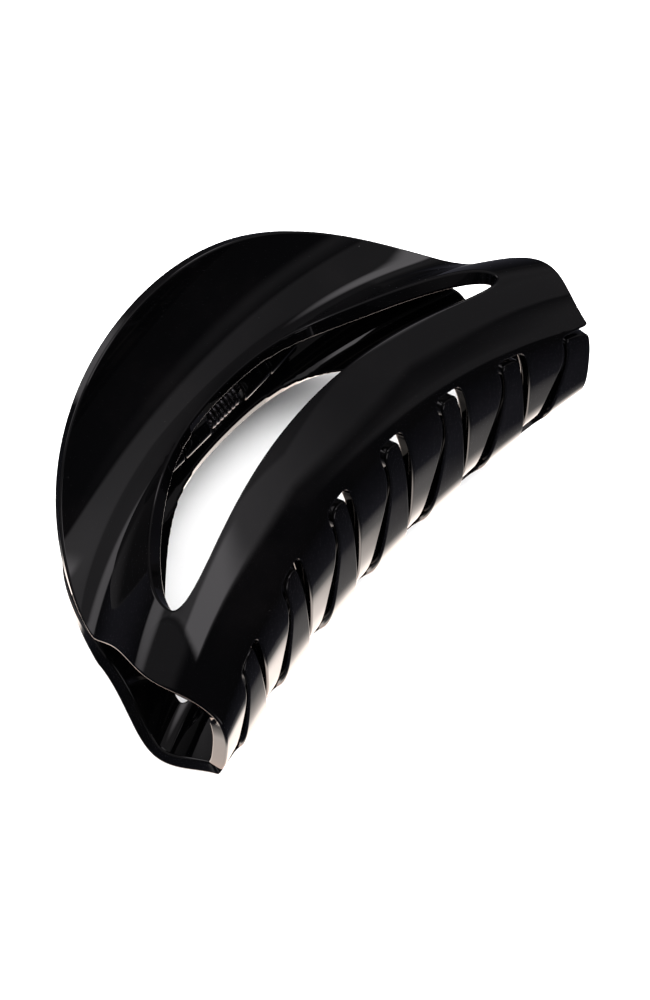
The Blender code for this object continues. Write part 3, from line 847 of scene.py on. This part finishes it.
def steel(name, light, dark, rough_low, rough_high, stretch):
    """Drawn steel: fine streaks along the metal, oil-dark patches and uneven roughness."""
    made = bpy.data.materials.new(name)
    made.use_nodes = True
    n = Nodes(made.node_tree)
    place = n.add("ShaderNodeTexCoord").outputs["Object"]
    along = n.add("ShaderNodeMapping", {"Vector": place, "Scale": stretch}).outputs["Vector"]
    streak = n.noise(along, scale=1.0, detail=4, roughness=0.6)
    patch = n.span(n.noise(place, scale=350, detail=3, roughness=0.6), 0.35, 0.65, 0.0, 1.0, smooth=True)
    colour = n.tones(patch, dark, light).outputs["Color"]
    rough = n.span(streak, 0.3, 0.7, rough_low, rough_high)
    bump = n.add("ShaderNodeBump", {"Height": n.product(streak, 0.000004), "Strength": 1.0, "Distance": 1.0})
    shader = n.add(
        "ShaderNodeBsdfPrincipled",
        {"Base Color": colour, "Roughness": rough, "Normal": bump.outputs["Normal"], "Metallic": 1.0},
    )
    n.add("ShaderNodeOutputMaterial", {"Surface": shader.outputs["BSDF"]})
    return made


def add_floor():
    mesh = bpy.data.meshes.new("floor")
    corners = [(FLOOR_HALF * x, FLOOR_HALF * y, 0) for x, y in ((-1, -1), (1, -1), (1, 1), (-1, 1))]
    mesh.from_pydata(corners, [], [(0, 1, 2, 3)])
    made = bpy.data.materials.new("pale_floor")
    made.use_nodes = True
    n = Nodes(made.node_tree)
    place = n.add("ShaderNodeTexCoord").outputs["Object"]
    tone = n.tones(n.noise(place, scale=9, detail=3, roughness=0.5), (0.90, 0.90, 0.90), (0.93, 0.93, 0.93))
    shader = n.add("ShaderNodeBsdfPrincipled", {"Base Color": tone.outputs["Color"], "Roughness": 0.9})
    n.add("ShaderNodeOutputMaterial", {"Surface": shader.outputs["BSDF"]})
    floor = new_object("floor", mesh, made)
    floor.visible_glossy = False


def add_camera():
    azimuth, elevation = math.radians(CAMERA_AZIMUTH), math.radians(CAMERA_ELEVATION)
    roll = math.radians(CAMERA_ROLL)
    forward = Vector((
        math.sin(azimuth) * math.cos(elevation),
        math.cos(azimuth) * math.cos(elevation),
        -math.sin(elevation),
    ))
    level = forward.cross(Vector((0, 0, 1))).normalized()
    upright = level.cross(forward)
    right = level * math.cos(roll) + upright * math.sin(roll)
    up = right.cross(forward)
    data = bpy.data.cameras.new("camera")
    data.lens = CAMERA_LENS
    data.sensor_width = CAMERA_SENSOR
    data.clip_start = 0.01
    camera = bpy.data.objects.new("camera", data)
    turn = Matrix((right, up, -forward)).transposed().to_4x4()
    camera.matrix_world = Matrix.Translation(CAMERA_PLACE) @ turn
    bpy.context.scene.collection.objects.link(camera)
    bpy.context.scene.camera = camera


def add_fill():
    """A broad soft light overhead, which the gloss doesn't mirror."""
    data = bpy.data.lights.new("overhead_fill", "AREA")
    data.shape = "SQUARE"
    data.size = FILL_SIZE
    data.energy = FILL_POWER
    light = bpy.data.objects.new("overhead_fill", data)
    light.location = FILL_PLACE
    light.rotation_euler = (-Vector(FILL_PLACE)).to_track_quat("-Z", "Y").to_euler()
    light.visible_camera = False
    light.visible_glossy = False
    bpy.context.scene.collection.objects.link(light)


def strip_tone(n, x, y, lit, across, inside_flag):
    """The strip box: as wide as STRIP_WIDTH, ended by its own start and by the flag."""
    turn = math.radians(STRIP_TURN)
    start = n.math("MULTIPLY_ADD", y, math.cos(turn), STRIP_START[1])
    along = n.math("SUBTRACT", n.product(x, math.sin(turn)), start)
    reach = n.math("MULTIPLY_ADD", along, STRIP_SKEW, across)
    wide = n.span(reach, *STRIP_WIDTH, STRIP_STRENGTH, 0.0, smooth=True)
    long = n.span(along, *STRIP_END_EDGE, 0.0, 1.0, smooth=True)
    return n.product(lit, wide, long, n.span(inside_flag, *STRIP_FLAG_EDGE, 0.0, 1.0, smooth=True))


def panel_tone(n, x, y, lit, inside_flag):
    """The grey panel that fades away from the strip, dimmer within a notch that opens upwards."""
    flare = n.math("ABSOLUTE", n.math("SUBTRACT", x, PANEL_NOTCH[0]))
    in_notch = n.math("SUBTRACT", y, n.math("MULTIPLY_ADD", flare, NOTCH_FLARE, PANEL_NOTCH[1]))
    return n.product(
        lit,
        n.span(inside_flag, *PANEL_FLAG_EDGE, 0.0, 1.0, smooth=True),
        n.span(x, *PANEL_BY_X, smooth=True),
        n.span(y, *PANEL_BY_Y, smooth=True),
        n.span(in_notch, *NOTCH_EDGE, 1.0, NOTCH_TONE, smooth=True),
    )


def overhead(n, direction):
    """(tone, height) of the studio above: strip box, grey panel, flag, a glow on either side, and cards."""
    split = n.add("ShaderNodeSeparateXYZ", {"Vector": direction})
    sky_x, sky_y, z = (split.outputs[name] for name in "XYZ")
    height = n.math("MAXIMUM", z, CEILING_LEAST_HEIGHT)
    x, y = n.math("DIVIDE", sky_x, height), n.math("DIVIDE", sky_y, height)

    turn = math.radians(STRIP_TURN)
    across = n.total(n.product(x, math.cos(turn)), n.math("MULTIPLY_ADD", y, math.sin(turn), STRIP_START[0]))
    lit = n.span(across, *STRIP_SIDE_EDGE, 0.0, 1.0, smooth=True)

    beyond = n.math("MAXIMUM", n.math("SUBTRACT", x, FLAG_BEYOND[0]))
    before = n.math("MAXIMUM", n.math("SUBTRACT", FLAG_BEFORE[0], x))
    edge = n.math("MULTIPLY_ADD", beyond, FLAG_BEYOND[1], FLAG_EDGE)
    edge = n.math("MULTIPLY_ADD", before, FLAG_BEFORE[1], edge)
    inside_flag = n.math("SUBTRACT", y, edge)

    behind = n.product(n.span(across, *BEHIND_EDGE, 1.0, 0.0), n.span(y, *BEHIND_BY_Y, smooth=True))
    glow = n.span(n.math("MULTIPLY_ADD", y, GLOW_SLANT, x), *GLOW_BY_PLACE, smooth=True)
    glow = n.product(n.span(inside_flag, *GLOW_BY_EDGE, smooth=True), glow)
    strip = strip_tone(n, x, y, lit, across, inside_flag)
    tone = n.total(strip, panel_tone(n, x, y, lit, inside_flag), behind, glow)
    tone = n.product(tone, n.span(z, *HORIZON_FADE))
    for facing, full, gone, strength in CARDS:
        inputs = {0: direction, 1: facing}
        toward = n.add("ShaderNodeVectorMath", inputs, operation="DOT_PRODUCT").outputs["Value"]
        low, high = math.cos(math.radians(gone)), math.cos(math.radians(full))
        tone = n.total(tone, n.span(toward, low, high, 0.0, strength, smooth=True))
    return n.total(tone, BASE_TONE), z


def add_studio():
    """A strip box overhead that falls off to grey on one side and black on the other, with soft fill."""
    world = bpy.data.worlds.new("studio")
    bpy.context.scene.world = world
    world.use_nodes = True
    n = Nodes(world.node_tree)
    tone, z = overhead(n, n.add("ShaderNodeTexCoord").outputs["Generated"])
    inputs = {"Red": tone, "Green": n.product(tone, STUDIO_GREEN), "Blue": tone}
    above = n.add("ShaderNodeCombineColor", inputs).outputs["Color"]
    below = n.tones(n.product(z, -1.0), BELOW_LEVEL, BELOW_STEEP)
    for position, colour in BELOW_TONES:
        below.color_ramp.elements.new(position).color = (*colour, 1)
    both = n.blend(n.span(z, *HORIZON_EDGE, 0.0, 1.0), below.outputs["Color"], above)
    back = n.add("ShaderNodeBackground", {"Color": both, "Strength": 1.0})
    n.add("ShaderNodeOutputWorld", {"Surface": back.outputs["Background"]})
    add_fill()
    bpy.context.scene.view_settings.view_transform = "Standard"


plastic = gloss_plastic()
pin_steel = steel(
    "turned_pin_steel",
    light=(0.30, 0.30, 0.31),
    dark=(0.12, 0.12, 0.13),
    rough_low=0.20,
    rough_high=0.38,
    stretch=(2500, 300, 300),
)
wire_steel = steel(
    "spring_wire_steel",
    light=(0.33, 0.33, 0.35),
    dark=(0.16, 0.15, 0.16),
    rough_low=0.16,
    rough_high=0.32,
    stretch=(900, 900, 900),
)

sheet = jaw_sheet()
add_jaw("lower_jaw_moulding", True, sheet, "lower", "lower_jaw", plastic)
add_jaw("upper_jaw_moulding", False, sheet, "upper", "upper_jaw", plastic)
add_pin(pin_steel)
add_spring(wire_steel)
add_floor()
add_camera()
add_studio()
